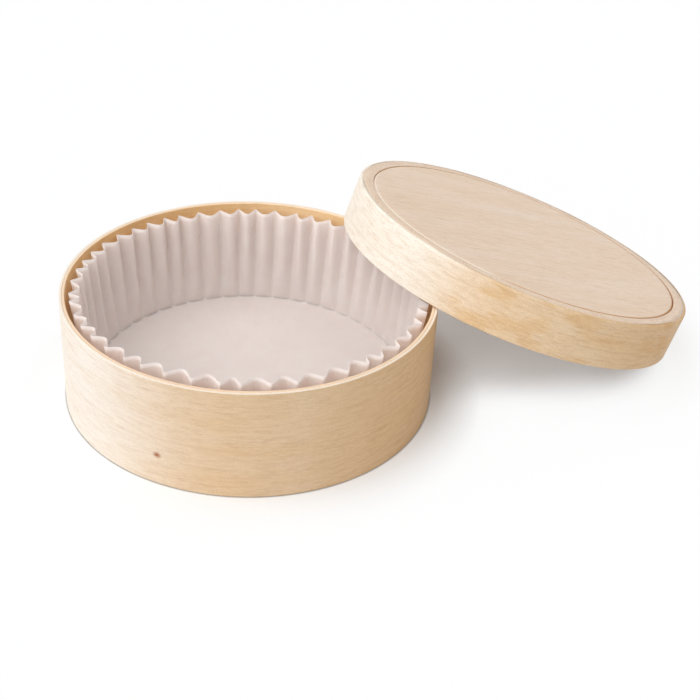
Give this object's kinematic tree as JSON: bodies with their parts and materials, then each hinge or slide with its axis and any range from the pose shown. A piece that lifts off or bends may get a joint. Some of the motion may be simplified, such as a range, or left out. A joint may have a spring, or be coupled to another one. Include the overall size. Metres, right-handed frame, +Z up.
{
  "type": "round wooden food box",
  "caption": "Round bentwood box with a slip-over lid leaning on its rim and a pleated paper liner inside; holds cheese, cake or keepsakes.",
  "frame": {"origin": "centre of the underside of the base", "axes": "+Z up along the base's axis, -Y to the front as pictured, the lid leans towards +X and a little +Y"},
  "size_m": [0.2788, 0.2232, 0.0752],
  "materials": {
    "band_wood": "bare sanded pale wood, fine grain running round the band",
    "lid_band_wood": "bare sanded pale wood, fine grain running round the band",
    "panel_wood": "bare sanded pale wood, fine straight grain",
    "paper": "thin greaseproof paper, slightly translucent"
  },
  "bodies": {
    "box": {"base_outer_band": "band_wood", "base_inner_band": "band_wood", "base_bottom": "panel_wood", "paper_liner": "paper"},
    "lid": {"lid_band": "lid_band_wood", "lid_seat_ring": "lid_band_wood", "lid_panel": "panel_wood"}
  },
  "joints": [
    {"name": "lid_lift", "type": "slide", "parent": "box", "child": "lid", "axis": [0, 0, 1], "range_m": [0, 0.07]}
  ]
}
